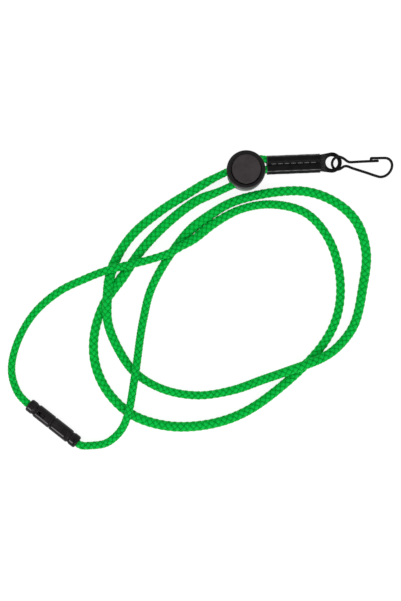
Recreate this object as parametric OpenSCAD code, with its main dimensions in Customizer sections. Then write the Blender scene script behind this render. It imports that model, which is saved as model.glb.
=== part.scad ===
// Neck lanyard of round braided cord with a two-hole slider, a stitched sleeve,
// a moulded eye with a wire snap hook, and a barrel breakaway connector.
// It lies flat on a table. Origin: centre of the slider's underside. +X runs towards
// the hook, +Z points up from the table.

/* [Cord] */
// Diameter of the braided cord
cord_d = 3.2; // [3:0.1:3.2]

/* [Sleeve] */
// Length of the stitched sleeve that holds both cord ends
sleeve_length = 22; // [21:0.5:22]
// Wall thickness around each cord
sleeve_wall = 0.45; // [0.4:0.05:0.5]
// Number of stitches along the middle of the sleeve
stitch_count = 7; // [5:1:7]
// Length of one stitch
stitch_length = 1.8; // [1.4:0.1:2]
// Diameter of the sewing thread
thread_d = 0.32; // [0.25:0.01:0.35]

/* [Eye] */
// Diameter of the hole that carries the hook
eye_hole_d = 5.1; // [5:0.1:5.2]
// Outside diameter of the eye's ring
eye_ring_d = 8.3; // [8.1:0.1:8.4]
// Thickness of the eye
eye_thickness = 1.2; // [1:0.1:1.2]

/* [Slider] */
// Diameter of the slider's rim
slider_d = 15.8; // [15.7:0.1:16]
// Height of the slider's rim above its underside
slider_height = 8.5; // [8.3:0.1:8.7]
// Diameter of the push button
button_d = 11.5; // [11.4:0.1:11.7]
// How far the button stands proud of the rim
button_proud = 2.1; // [1.6:0.1:2.4]
// Travel of the button
button_travel = 0.9; // [0.7:0.1:0.9]
// Distance between the two cord holes
cord_spacing = 5.7; // [5.7:0.1:5.8]

/* [Hook] */
// Diameter of the hook's spring wire
wire_d = 1; // [0.9:0.05:1.05]

/* [Breakaway] */
// Overall length of the closed connector
connector_length = 25.6; // [25:0.2:26]
// Diameter of the connector's barrel
connector_d = 5.6; // [5.5:0.1:5.7]
// Diameter of the plug's stem
stem_d = 3; // [2.8:0.1:3]

/* [Hidden] */
$fn = 48;

cord_r = cord_d / 2;
cord_sides = 8;

// Sleeve: its left mouth, its direction, and the height of its middle above the table.
sleeve_mouth = [8.7, 2.9];
sleeve_turn = 2.2;
sleeve_z = 2.15;
bore_r = cord_r + 0.02;
bore_offset = bore_r + 0.03;
lobe_r = bore_r + sleeve_wall;
web_dip = 0.35;
web_half = lobe_r - web_dip;
cord_depth = 12.5;
tongue_w = 6;
tongue_gap = 0.02;
tongue_play = 0.2;
stitch_margin = 1.5;
stitch_pitch = (sleeve_length - 2 * stitch_margin) / stitch_count;

// Eye: its centre on the sleeve's axis, and how far the tab reaches into the sleeve.
eye_centre = [35.5, 3.8];
ring_mid_r = (eye_hole_d + eye_ring_d) / 4;
ring_half = (eye_ring_d - eye_hole_d) / 4;
tab_w = 6.8;
tab_back = 4.8;
tab_shoulder = 1.6;
tab_ring_r = ring_mid_r + ring_half / 2;
tab_thickness = eye_thickness - 0.1;

// Slider: cords cross it side by side in a straight line at this angle and height.
cord_angle = 205;
cord_z = 3.4;
hole_r = cord_r + 0.35;
mouth_start = 5.9;
mouth_depth = 2.1;
slot_r = cord_r + 0.05;
rim_r = slider_d / 2;
base_r = rim_r - 0.2;
base_top = 4.4;
waist_r = rim_r - 0.7;
waist_top = 5.3;
shelf_z = 5.6;
floor_t = 0.4;
chamber_r = button_d / 2 + 0.2;
core_r = 5.2;
well_r = core_r + 0.1;
foot_z = 1.4;
cap_z = 7.6;
button_top = slider_height + button_proud;
spring_wire = 0.4;
spring_turns = 2.2;
spring_r = (core_r + chamber_r) / 2;
spring_play = 0.02;

// Hook: the wire's plan, with the plane of the hook tipped about its long axis.
hook_turn = -5;
hook_tip = 28.5;
hook_rise = 0.03;
wire_r = wire_d / 2;
wire_sides = 8;
loop_centre = [38.1, 3.55];
loop_r = 2.42;
nose_arc_centre = [56.89, 2.05];
nose_arc_r = 3.2;
bow_arc_centre = [56, 2.2];
bow_arc_r = 4.1;
gate_start = [43.5, 3.86];
gate_end = [54.5, 4.22];
// Points of the wire as [x, y, extra height above the hook's plane].
nose_points = [[51.4, 4.15, 1.2], [51.3, 4.6, 1.02], [51.45, 5.02, 0.54], [52, 5.22, 0.12],
               [53.3, 5.25, 0]];
lower_arm_points = [[49.2, 0.02, 0], [43.8, 1.66, 0], [42.4, 2.2, 0], [41.5, 2.38, 0],
                    [40.6, 2.25, 0]];
neck_points = [[39.8, 5.47, 0], [40.7, 4.95, 0], [41.6, 4.33, 0], [42.4, 3.97, 0],
               [43.2, 3.86, 0]];

// Breakaway connector: the middle of the closed connector and its direction.
connector_centre = [-78.9, -103.4, 2.85];
connector_turn = -38.4;
seam_x = -0.5;
seam_gap = 0.12;
cap_length = 3.9;
cap_d = 5.4;
cap_neck_r = 2.2;
cap_neck_length = 1.4;
neck_bore_r = cap_neck_r - 0.3;
neck_play = 0.02;
cap_bore_r = cord_r + 0.12;
cap_mouth = 0.8;
barrel_wall_r = connector_d / 2;
stem_length = 6.2;
stem_clearance = 0.05;
latch_r = stem_d / 2 + 0.15;
latch_length = 1.2;
stem_bore_length = 7;
// Recesses as [start, length, width, height of the floor above the middle].
socket_slot = [-6.6, 3.8, 2, 0.5];
plug_panel = [1, 6.2, 2, barrel_wall_r - 0.45];
cap_window = [1.2, 1.7, 1.8, 0.5];

// Route of each strand from inside the sleeve to inside the connector. It lies on the
// table, one cord radius up, and rises in long low humps where it crosses a strand.
route_a = [[16.8, 4.85, 2.15], [10.4, 4.6, 2.2], [7.5, 5.1, 2.75], [4.3, 5.05, 3.35],
           [2.6, 4.35, 3.4], [-13.4, -3.1, 3.4], [-23.4, -8.9, 2.2], [-35.3, -16.4, 1.6],
           [-46.8, -26.3, 1.6], [-53.4, -36.4, 1.7], [-55.9, -45, 3.7], [-56.5, -53.7, 5.1],
           [-56.3, -62.2, 3.4], [-52.7, -72.1, 1.7], [-45.7, -82.3, 1.6],
           [-34.3, -89.3, 1.6], [-19.9, -92, 1.6], [-5.3, -89.9, 1.6], [7.3, -85.4, 2.4],
           [16.3, -82, 4.8], [31.4, -76.2, 4.8], [38.6, -71.3, 2.2], [44.8, -62.8, 1.6],
           [48.3, -47.7, 1.6], [49.7, -33.2, 1.6], [45.7, -20.6, 1.6], [36.7, -12.3, 1.6],
           [23.1, -7.9, 1.6], [-3, -11.6, 1.6], [-15.2, -18.2, 1.6], [-25.6, -27, 1.6],
           [-38.2, -46.8, 1.6], [-42.1, -61.2, 1.6], [-45.2, -83.7, 5.1], [-48, -99.2, 5],
           [-51.2, -106.3, 3.2], [-57.1, -111.5, 1.9], [-63.8, -112.6, 2.1],
           [-67.6, -112.3, 2.85], [-70.8, -109.8, 2.85]];
route_b = [[16.9, 1.55, 2.15], [10.6, 1.3, 2.2], [8.4, 0.8, 2.7], [6.5, -0.1, 3.3],
           [4.9, -0.85, 3.4], [-11, -8.3, 3.4], [-20.2, -12.1, 2.2], [-30.9, -20, 1.6],
           [-41.6, -30.8, 1.6], [-49.9, -42.3, 1.6], [-58.6, -55.3, 1.6],
           [-62.3, -68.2, 1.6], [-61.6, -79.7, 1.6], [-56.4, -90.8, 1.6],
           [-46.6, -99.9, 1.6], [-32.9, -104.4, 1.6], [-18.4, -104.4, 1.6],
           [-4.2, -100.7, 1.6], [9.3, -92.7, 1.6], [31, -72.3, 1.6], [37.9, -58.7, 1.6],
           [38.9, -43.2, 1.6], [34.4, -27.8, 1.6], [25, -17, 1.6], [11.1, -13.4, 1.6],
           [-1.9, -15.4, 1.6], [-13.4, -21.6, 1.6], [-21.3, -27.9, 3], [-26.2, -30.8, 4.7],
           [-31.2, -33.6, 5], [-40.5, -36.6, 4.4], [-56.2, -40.6, 5.8], [-65.9, -44.1, 3],
           [-76.8, -49.3, 1.6], [-87.3, -58.6, 1.6], [-94.1, -70.7, 1.6],
           [-96.3, -81.7, 1.6], [-93.9, -90.2, 2.1], [-90.2, -94.5, 2.85],
           [-86.9, -97.1, 2.85]];

function unit(v) = v / norm(v);

// Direction of a route at point i.
function heading(p, i) = unit(p[min(i + 1, len(p) - 1)] - p[max(i - 1, 0)]);

// One ring of a tube around point i, with its first corner to the side.
function ring(p, i, r, sides) =
    let (t = heading(p, i), side = unit(cross([0, 0, 1], t)), up = cross(t, side))
    [for (k = [0:sides - 1])
        let (a = 360 * k / sides)
        p[i] + r * (cos(a) * side + sin(a) * up)];

// A closed tube swept along the points.
module tube(p, r, sides) {
    last = len(p) - 1;
    corners = [for (i = [0:last]) each ring(p, i, r, sides)];
    walls = [for (i = [0:last - 1], k = [0:sides - 1])
        let (n = (k + 1) % sides)
        [(i + 1) * sides + k, (i + 1) * sides + n, i * sides + n, i * sides + k]];
    start = [[for (k = [0:sides - 1]) k]];
    end = [[for (k = [sides - 1:-1:0]) last * sides + k]];
    polyhedron(corners, concat(walls, start, end));
}

// Points on an arc in plan from angle a0 to a1.
function arc(c, r, a0, a1, steps) =
    [for (i = [0:steps]) let (a = a0 + (a1 - a0) * i / steps) [c[0] + r * cos(a), c[1] + r * sin(a), 0]];

// Lifts a plan point into the hook's tipped plane through the middle of the eye.
function hook_point(p) =
    let (dx = p[0] - eye_centre[0], dy = p[1] - eye_centre[1],
         along = dx * cos(hook_turn) + dy * sin(hook_turn),
         across = dy * cos(hook_turn) - dx * sin(hook_turn))
    [p[0], p[1], sleeve_z + along * hook_rise + across * tan(hook_tip) + p[2]];

module on_sleeve() {
    translate([sleeve_mouth[0], sleeve_mouth[1], sleeve_z])
        rotate([0, 0, sleeve_turn])
            children();
}

module along_x(x, r, length) {
    translate([x, 0, 0])
        rotate([0, 90, 0])
            cylinder(r = r, h = length);
}

module cord_sleeve() {
    color("#1c1b1d")
        on_sleeve()
            difference() {
                union() {
                    for (side = [-1, 1])
                        translate([0, side * bore_offset, 0])
                            along_x(0, lobe_r, sleeve_length);
                    translate([0, -bore_offset, -web_half])
                        cube([sleeve_length, 2 * bore_offset, 2 * web_half]);
                }
                for (side = [-1, 1])
                    translate([0, side * bore_offset, 0])
                        along_x(-1, bore_r, cord_depth + 1);
                translate([cord_depth + 1, -tongue_w / 2 - tongue_gap, -eye_thickness / 2 - tongue_gap])
                    cube([sleeve_length, tongue_w + 2 * tongue_gap, eye_thickness + 2 * tongue_gap]);
            }
}

// Each stitch is a run of thread on the top and one on the underside, joined through the web.
module sleeve_stitching() {
    color("#2f2d30")
        on_sleeve()
            for (i = [0:stitch_count - 1])
                translate([stitch_margin + stitch_pitch * (i + 0.5) - stitch_length / 2, 0, 0]) {
                    for (face = [-1, 1])
                        translate([0, 0, face * web_half])
                            along_x(0, thread_d / 2, stitch_length);
                }
}

module eye_fitting() {
    color("#262527") {
        on_sleeve()
            translate([cord_depth + 1 + tongue_play, -tongue_w / 2, -eye_thickness / 2])
                cube([sleeve_length - cord_depth - 1, tongue_w, eye_thickness]);
        translate([eye_centre[0], eye_centre[1], sleeve_z]) {
            rotate_extrude()
                translate([ring_mid_r, 0])
                    hull()
                        for (side = [-1, 1])
                            translate([side * (ring_half - eye_thickness / 2), 0])
                                circle(r = eye_thickness / 2, $fn = 32);
            rotate([0, 0, sleeve_turn])
                difference() {
                    translate([0, 0, -tab_thickness / 2])
                        linear_extrude(tab_thickness)
                            polygon([[0, tab_ring_r], [-tab_shoulder, tab_ring_r], [-tab_back, tab_w / 2],
                                     [-tab_back, -tab_w / 2], [-tab_shoulder, -tab_ring_r],
                                     [0, -tab_ring_r]]);
                    translate([0, 0, -eye_thickness])
                        cylinder(r = ring_mid_r, h = 2 * eye_thickness);
                }
        }
    }
}

module cord_a() {
    color("#12b83f")
        tube(route_a, cord_r, cord_sides);
}

module cord_b() {
    color("#12b83f")
        tube(route_b, cord_r, cord_sides);
}

// Cords' direction through the slider: local +X runs along them.
module along_cords(side, z) {
    rotate([0, 0, cord_angle])
        translate([0, side * cord_spacing / 2, z])
            children();
}

module slider_barrel() {
    edge = 0.3;
    color("#1a191b")
        difference() {
            rotate_extrude()
                polygon([[0, 0], [base_r - edge, 0], [base_r, edge], [base_r, base_top - edge],
                         [base_r - edge, base_top], [waist_r, base_top + edge], [waist_r, waist_top],
                         [rim_r, waist_top + edge], [rim_r, slider_height - edge],
                         [rim_r - edge, slider_height], [chamber_r + edge, slider_height],
                         [chamber_r, slider_height - edge], [chamber_r, shelf_z],
                         [well_r, shelf_z], [well_r, floor_t], [0, floor_t]]);
            for (side = [-1, 1])
                along_cords(side, cord_z) {
                    along_x(-rim_r - 1, hole_r, 2 * rim_r + 2);
                    for (way = [-1, 1])
                        rotate([0, way * 90, 0])
                            translate([0, 0, mouth_start])
                                cylinder(r1 = hole_r, r2 = hole_r + mouth_depth, h = mouth_depth);
                }
        }
}

module slider_spring() {
    steps = 20;
    low = shelf_z + spring_wire / 2 + spring_play;
    high = cap_z - spring_wire / 2 - spring_play;
    coil = [for (i = [0:ceil(spring_turns * steps)])
        let (f = i / ceil(spring_turns * steps), a = 360 * spring_turns * f)
        [spring_r * cos(a), spring_r * sin(a), low + (high - low) * f]];
    color("silver")
        tube(coil, spring_wire / 2, 6);
}

module slider_button() {
    edge = 0.4;
    color("#3f3a3c")
        difference() {
            rotate_extrude()
                polygon([[0, foot_z], [core_r, foot_z], [core_r, cap_z], [button_d / 2, cap_z],
                         [button_d / 2, button_top - edge], [button_d / 2 - edge, button_top],
                         [0, button_top]]);
            for (side = [-1, 1])
                along_cords(side, cord_z) {
                    along_x(-rim_r, slot_r, 2 * rim_r);
                    translate([0, 0, button_travel])
                        along_x(-rim_r, slot_r, 2 * rim_r);
                    translate([-rim_r, -slot_r, 0])
                        cube([2 * rim_r, 2 * slot_r, button_travel]);
                }
        }
}

module hook_wire() {
    meet = -9.6;
    lean = 17.9;
    plan = concat(nose_points,
                  arc(nose_arc_centre, nose_arc_r, 90, meet, 7),
                  arc(bow_arc_centre, bow_arc_r, meet - 13, -90 - lean, 7),
                  lower_arm_points,
                  arc(loop_centre, loop_r, -55, -290, 15),
                  neck_points);
    color("#151416")
        tube([for (p = plan) hook_point(p)], wire_r, wire_sides);
}

module hook_gate() {
    color("#151416")
        tube([hook_point([gate_start[0], gate_start[1], 0]), hook_point([gate_end[0], gate_end[1], 0])],
             wire_r, wire_sides);
}

module on_connector() {
    translate(connector_centre)
        rotate([0, 0, connector_turn])
            children();
}

// Solid barrel of one half, with chamfered ends.
module barrel_solid(length) {
    edge = 0.35;
    rotate([0, 90, 0])
        rotate_extrude()
            polygon([[0, 0], [barrel_wall_r - edge, 0], [barrel_wall_r, edge],
                     [barrel_wall_r, length - edge], [barrel_wall_r - edge, length], [0, length]]);
}

// A rectangular recess cut into the top and the underside; its start is measured from x0.
module recess_pair(x0, recess) {
    for (face = [-1, 1])
        translate([x0 + recess[0], -recess[2] / 2, face > 0 ? recess[3] : -recess[3] - connector_d])
            cube([recess[1], recess[2], connector_d]);
}

module breakaway_socket() {
    left = -connector_length / 2 + cap_length;
    length = seam_x - seam_gap / 2 - left;
    color("#1d1c1e")
        on_connector()
            difference() {
                translate([left, 0, 0])
                    barrel_solid(length);
                along_x(left - 1, neck_bore_r, cap_neck_length + 1);
                along_x(seam_x - stem_bore_length, latch_r + stem_clearance, stem_bore_length + 1);
                recess_pair(seam_x, socket_slot);
            }
}

module breakaway_plug() {
    right = connector_length / 2 - cap_length;
    left = seam_x + seam_gap / 2;
    tip = seam_x - stem_length;
    color("#1d1c1e")
        on_connector()
            union() {
                difference() {
                    translate([left, 0, 0])
                        barrel_solid(right - left);
                    along_x(right - cap_neck_length, neck_bore_r, cap_neck_length + 1);
                    recess_pair(left, plug_panel);
                }
                along_x(tip, stem_d / 2, stem_length + 1);
                translate([tip, 0, 0])
                    rotate([0, 90, 0])
                        cylinder(r1 = stem_d / 2 - 0.3, r2 = latch_r, h = latch_length);
                translate([tip + latch_length, 0, 0])
                    rotate([0, 90, 0])
                        cylinder(r1 = latch_r, r2 = stem_d / 2, h = latch_length / 2);
            }
}

// Cap that traps the cord's end in a half: local +X points out of the connector.
module end_cap() {
    edge = 0.9;
    neck_r = neck_bore_r - neck_play;
    difference() {
        union() {
            rotate([0, 90, 0])
                rotate_extrude()
                    polygon([[0, 0], [cap_neck_r, 0], [cap_neck_r, 0.5], [cap_d / 2, 1],
                             [cap_d / 2, cap_length - edge], [cap_d / 2 - edge / 3, cap_length - edge / 3],
                             [cap_d / 2 - edge, cap_length], [0, cap_length]]);
            along_x(-cap_neck_length + 0.1, neck_r, cap_neck_length);
        }
        along_x(0.5, cap_bore_r, cap_length);
        translate([cap_length - cap_mouth, 0, 0])
            rotate([0, 90, 0])
                cylinder(r1 = cap_bore_r, r2 = cap_bore_r + cap_mouth / 2, h = cap_mouth + 0.001);
        recess_pair(0, cap_window);
    }
}

module socket_end_cap() {
    color("#1d1c1e")
        on_connector()
            translate([-connector_length / 2 + cap_length, 0, 0])
                rotate([0, 0, 180])
                    end_cap();
}

module plug_end_cap() {
    color("#1d1c1e")
        on_connector()
            translate([connector_length / 2 - cap_length, 0, 0])
                end_cap();
}

cord_sleeve();
sleeve_stitching();
eye_fitting();
cord_a();
cord_b();
slider_barrel();
slider_spring();
slider_button();
hook_wire();
hook_gate();
breakaway_socket();
socket_end_cap();
breakaway_plug();
plug_end_cap();
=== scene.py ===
"""Neck lanyard: the visual model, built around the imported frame.

Everything is in the frame's own space, +Z up. Shapes are drawn in millimetres and
turned into metres when a piece is dressed; cord routes are in metres.
"""
import math

import bmesh
import bpy
import numpy as np
from mathutils import Matrix, Vector


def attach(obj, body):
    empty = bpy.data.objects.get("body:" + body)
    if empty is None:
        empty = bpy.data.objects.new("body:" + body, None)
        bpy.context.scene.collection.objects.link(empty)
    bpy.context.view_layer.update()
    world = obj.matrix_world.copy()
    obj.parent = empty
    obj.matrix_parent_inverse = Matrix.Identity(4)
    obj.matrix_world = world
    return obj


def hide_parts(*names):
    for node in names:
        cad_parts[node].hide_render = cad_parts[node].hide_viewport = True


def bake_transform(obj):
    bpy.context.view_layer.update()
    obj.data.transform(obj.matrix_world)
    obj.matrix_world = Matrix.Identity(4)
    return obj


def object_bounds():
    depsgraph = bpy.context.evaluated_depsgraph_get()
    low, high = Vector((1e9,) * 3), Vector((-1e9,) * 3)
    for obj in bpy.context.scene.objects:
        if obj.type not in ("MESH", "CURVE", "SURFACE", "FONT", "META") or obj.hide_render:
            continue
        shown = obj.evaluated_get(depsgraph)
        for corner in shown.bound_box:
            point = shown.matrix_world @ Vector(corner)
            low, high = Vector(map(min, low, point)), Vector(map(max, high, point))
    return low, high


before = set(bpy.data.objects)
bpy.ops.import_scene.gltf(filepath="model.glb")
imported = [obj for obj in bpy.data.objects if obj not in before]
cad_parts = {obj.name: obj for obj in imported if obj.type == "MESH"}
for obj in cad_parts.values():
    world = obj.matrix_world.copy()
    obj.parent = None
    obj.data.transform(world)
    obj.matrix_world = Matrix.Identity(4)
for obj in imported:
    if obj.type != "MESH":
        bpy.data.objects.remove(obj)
cad_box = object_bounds()

MM = 0.001

# -------------------------------- cord routes
# The routes of the two strands, from inside the sleeve to inside the connector.
ROUTE_A = [
    (0.0168, 0.00485, 0.00215), (0.0104, 0.0046, 0.0022), (0.0075, 0.0051, 0.00275),
    (0.0043, 0.00505, 0.00335), (0.0026, 0.00435, 0.0034), (-0.0134, -0.0031, 0.0034),
    (-0.0234, -0.0089, 0.0022), (-0.0353, -0.0164, 0.0016), (-0.0468, -0.0263, 0.0016),
    (-0.0534, -0.0364, 0.0017), (-0.0559, -0.045, 0.0037), (-0.0565, -0.0537, 0.0051),
    (-0.0563, -0.0622, 0.0034), (-0.0527, -0.0721, 0.0017), (-0.0457, -0.0823, 0.0016),
    (-0.0343, -0.0893, 0.0016), (-0.0199, -0.092, 0.0016), (-0.0053, -0.0899, 0.0016),
    (0.0073, -0.0854, 0.0024), (0.0163, -0.082, 0.0048), (0.0314, -0.0762, 0.0048),
    (0.0386, -0.0713, 0.0022), (0.0448, -0.0628, 0.0016), (0.0483, -0.0477, 0.0016),
    (0.0497, -0.0332, 0.0016), (0.0457, -0.0206, 0.0016), (0.0367, -0.0123, 0.0016),
    (0.0231, -0.0079, 0.0016), (-0.003, -0.0116, 0.0016), (-0.0152, -0.0182, 0.0016),
    (-0.0256, -0.027, 0.0016), (-0.0382, -0.0468, 0.0016), (-0.0421, -0.0612, 0.0016),
    (-0.0452, -0.0837, 0.0051), (-0.048, -0.0992, 0.005), (-0.0512, -0.1063, 0.0032),
    (-0.0571, -0.1115, 0.0019), (-0.0638, -0.1126, 0.0021), (-0.0676, -0.1123, 0.00285),
    (-0.0708, -0.1098, 0.00285),
]
ROUTE_B = [
    (0.0169, 0.00155, 0.00215), (0.0106, 0.0013, 0.0022), (0.0084, 0.0008, 0.0027),
    (0.0065, -0.0001, 0.0033), (0.0049, -0.00085, 0.0034), (-0.011, -0.0083, 0.0034),
    (-0.0202, -0.0121, 0.0022), (-0.0309, -0.02, 0.0016), (-0.0416, -0.0308, 0.0016),
    (-0.0499, -0.0423, 0.0016), (-0.0586, -0.0553, 0.0016), (-0.0623, -0.0682, 0.0016),
    (-0.0616, -0.0797, 0.0016), (-0.0564, -0.0908, 0.0016), (-0.0466, -0.0999, 0.0016),
    (-0.0329, -0.1044, 0.0016), (-0.0184, -0.1044, 0.0016), (-0.0042, -0.1007, 0.0016),
    (0.0093, -0.0927, 0.0016), (0.031, -0.0723, 0.0016), (0.0379, -0.0587, 0.0016),
    (0.0389, -0.0432, 0.0016), (0.0344, -0.0278, 0.0016), (0.025, -0.017, 0.0016),
    (0.0111, -0.0134, 0.0016), (-0.0019, -0.0154, 0.0016), (-0.0134, -0.0216, 0.0016),
    (-0.0213, -0.0279, 0.003), (-0.0262, -0.0308, 0.0047), (-0.0312, -0.0336, 0.005),
    (-0.0405, -0.0366, 0.0044), (-0.0562, -0.0406, 0.0058), (-0.0659, -0.0441, 0.003),
    (-0.0768, -0.0493, 0.0016), (-0.0873, -0.0586, 0.0016), (-0.0941, -0.0707, 0.0016),
    (-0.0963, -0.0817, 0.0016), (-0.0939, -0.0902, 0.0021), (-0.0902, -0.0945, 0.00285),
    (-0.0869, -0.0971, 0.00285),
]

CORD_DIAMETER = 0.0032
CORD_RADIUS = CORD_DIAMETER / 2 / MM

# How each strand lies: (fraction of its length, width against nominal, roll of the braid in degrees).
# A strand is nipped in the slider and the sleeve, and drawn thin where it is pulled.
LIE_A = [
    (0.0, 0.9, 0), (0.064, 0.92, 20), (0.078, 1.1, 30), (0.1, 1.13, 25), (0.17, 1.13, 24),
    (0.19, 1.3, 24), (0.21, 1.15, 24), (0.28, 1.1, 22), (0.3, 1.02, 10), (0.36, 1.02, 0),
    (0.39, 1.11, 10), (0.5, 1.14, 22), (0.6, 1.17, 26), (0.66, 1.14, 30), (0.72, 1.13, 22),
    (0.755, 1.28, 18), (0.775, 1.1, 14), (0.8, 1.05, 10), (0.86, 1.01, 20), (0.95, 0.98, 26),
    (0.982, 0.95, 22), (1.0, 0.95, 22),
]
LIE_B = [
    (0.0, 0.9, 0), (0.062, 0.92, 20), (0.076, 1.16, 22), (0.1, 1.2, 22), (0.13, 1.2, 22),
    (0.16, 1.17, 24), (0.18, 1.34, 26), (0.2, 1.17, 28), (0.22, 1.13, 30), (0.36, 1.21, 26),
    (0.45, 1.15, 22), (0.54, 1.09, 40), (0.66, 1.05, 22), (0.7, 1.0, 10), (0.735, 1.17, 6),
    (0.755, 1.03, 2), (0.76, 0.98, 0), (0.88, 0.98, 4), (0.92, 0.89, 8), (0.97, 0.93, 10),
    (1.0, 0.93, 20),
]

# The braid: four yarns wound each way, each passing over one and under the next.
YARNS_EACH_WAY = 4
BRAID_PITCH = 10.4
SAMPLES_PER_PITCH = 38
YARN_RADIUS = 1.22
YARN_WEAVE = 0.23
YARN_WIDTH = 1.8
YARN_THICKNESS = 0.6
# How much a yarn widens where it passes over.
YARN_SWELL = 0.06
BRAID_RADIUS = YARN_RADIUS + YARN_WEAVE + YARN_THICKNESS / 2
# A strand that lies wider than this is pressed flat, so its height stays here.
FLAT_FROM = 1.14
CORE_RADIUS = 1.1
CORE_SIDES = 10
CORE_EVERY = 4
# How high the material takes a yarn to lie, and what the weave and its outline add; the material paints
# shade where a yarn lies low.
LIFT_MIDDLE = 0.5
LIFT_OF_WEAVE = 0.28
LIFT_OF_OUTLINE = 0.24
# How far apart the fibres of two yarns are in the material's noise.
YARN_APART = 3.0
# The outline of a yarn, as (across, outward) with half a width and half a thickness as one.
YARN_OUTLINE = [(-1.0, -0.1), (-0.6, 0.72), (0.0, 1.0), (0.6, 0.72), (1.0, -0.1), (0.0, -0.7)]


# -------------------------------- camera, floor and light
LENS = 50
SENSOR = 36
VIEW_HEIGHT = 0.2476
VIEW_NUDGE = Vector((0.0002, 0.000185, 0))


def add_camera():
    """A camera straight above the middle of the object."""
    low, high = cad_box
    centre = (low + high) / 2 + VIEW_NUDGE
    data = bpy.data.cameras.new("camera")
    data.lens = LENS
    data.sensor_width = SENSOR
    camera = bpy.data.objects.new("camera", data)
    camera.location = (centre.x, centre.y, CORD_DIAMETER / 2 + VIEW_HEIGHT * LENS / SENSOR)
    bpy.context.scene.collection.objects.link(camera)
    bpy.context.scene.camera = camera


def add_light(name, place, size, power, target=(-0.02, -0.05, 0)):
    """A square soft box that points at the target."""
    data = bpy.data.lights.new(name, "AREA")
    data.shape = "SQUARE"
    data.size = size
    data.energy = power
    light = bpy.data.objects.new(name, data)
    light.location = place
    aim = Vector(target) - Vector(place)
    light.rotation_euler = aim.to_track_quat("-Z", "Y").to_euler()
    bpy.context.scene.collection.objects.link(light)


def add_world(strength):
    """An even pale surround."""
    world = bpy.data.worlds.new("surround")
    world.use_nodes = True
    background = world.node_tree.nodes["Background"]
    background.inputs["Color"].default_value = (1, 1, 1, 1)
    background.inputs["Strength"].default_value = strength
    bpy.context.scene.world = world


def add_floor(half_width=1.5):
    """A plain pale floor that keeps shadows light."""
    shader = Shader("floor_paper", roughness=0.9, specular=0.0)
    paper = shader.noise(900, detail=2)
    shader.colour(shader.ramp(paper, [(0.3, (0.2, 0.2, 0.2)), (0.7, (0.22, 0.22, 0.22))]))
    shader.set("Emission Color", (1, 1, 1, 1))
    shader.set("Emission Strength", 0.87)
    corners = [(x, y, 0) for x, y in ((-1, -1), (1, -1), (1, 1), (-1, 1))]
    floor = new_object("floor", np.array(corners) * half_width, [(0, 1, 2, 3)])
    floor.data.materials.append(shader.material)


# -------------------------------- curves in space
def unit_rows(rows):
    """Each row scaled to length one."""
    return rows / np.linalg.norm(rows, axis=-1, keepdims=True)


def smooth_curve(points, per_span=24):
    """A centripetal Catmull-Rom curve through the points."""
    p = np.array(points, float)
    p = np.vstack([2 * p[0] - p[1], p, 2 * p[-1] - p[-2]])
    curve = []
    for p0, p1, p2, p3 in zip(p, p[1:], p[2:], p[3:]):
        t = np.cumsum([0] + [math.sqrt(np.linalg.norm(b - a)) for a, b in ((p0, p1), (p1, p2), (p2, p3))])
        s = np.linspace(t[1], t[2], per_span, endpoint=False)[:, None]
        a1 = ((t[1] - s) * p0 + (s - t[0]) * p1) / (t[1] - t[0])
        a2 = ((t[2] - s) * p1 + (s - t[1]) * p2) / (t[2] - t[1])
        a3 = ((t[3] - s) * p2 + (s - t[2]) * p3) / (t[3] - t[2])
        b1 = ((t[2] - s) * a1 + (s - t[0]) * a2) / (t[2] - t[0])
        b2 = ((t[3] - s) * a2 + (s - t[1]) * a3) / (t[3] - t[1])
        curve.append(((t[2] - s) * b1 + (s - t[1]) * b2) / (t[2] - t[1]))
    return np.vstack(curve + [p[-2:-1]])


def distance_along(points):
    """Distance from the first point to each point, along the line."""
    return np.concatenate([[0], np.cumsum(np.linalg.norm(np.diff(points, axis=0), axis=1))])


def evenly(points, step):
    """The same line with its points a step apart."""
    along = distance_along(points)
    places = np.linspace(0, along[-1], math.ceil(along[-1] / step) + 1)
    return np.stack([np.interp(places, along, points[:, k]) for k in range(3)], axis=1)


def frames_along(points, up=(0, 0, 1)):
    """For each point of a line: its direction, a side and an upward direction."""
    ahead = unit_rows(np.gradient(points, axis=0))
    side = unit_rows(np.cross(np.array(up, float), ahead))
    return ahead, side, np.cross(ahead, side)


def circles_along(points, sides, up=(0, 0, 1)):
    """A circle of radius one for each point of a line, square to the line."""
    _, side, top = frames_along(points, up)
    angles = np.arange(sides) * 2 * math.pi / sides
    return np.cos(angles)[None, :, None] * side[:, None] + np.sin(angles)[None, :, None] * top[:, None]


def circle_arc(centre, radius, start, end, steps):
    """Plan points on an arc between two angles in degrees."""
    angles = np.radians(np.linspace(start, end, steps + 1))
    return [(centre[0] + radius * math.cos(a), centre[1] + radius * math.sin(a)) for a in angles]


def rounded(corners, closed=False, steps=4):
    """A plan line from corners (x, y, radius), with an arc at each corner that has a radius."""
    line = []
    count = len(corners)
    for i, (x, y, radius) in enumerate(corners):
        inner = closed or 0 < i < count - 1
        if not inner or radius <= 0:
            line.append((x, y))
            continue
        here = np.array((x, y), float)
        back = unit_rows(np.array(corners[i - 1][:2], float) - here)
        on = unit_rows(np.array(corners[(i + 1) % count][:2], float) - here)
        half = math.acos(np.clip(back @ on, -1, 1)) / 2
        centre = here + unit_rows(back + on) * radius / math.sin(half)
        first = here + back * radius / math.tan(half) - centre
        last = here + on * radius / math.tan(half) - centre
        start = math.atan2(first[1], first[0])
        turn = (math.atan2(last[1], last[0]) - start + math.pi) % (2 * math.pi) - math.pi
        line += [(centre[0] + radius * math.cos(start + turn * k / steps),
                  centre[1] + radius * math.sin(start + turn * k / steps)) for k in range(steps + 1)]
    return line


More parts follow.
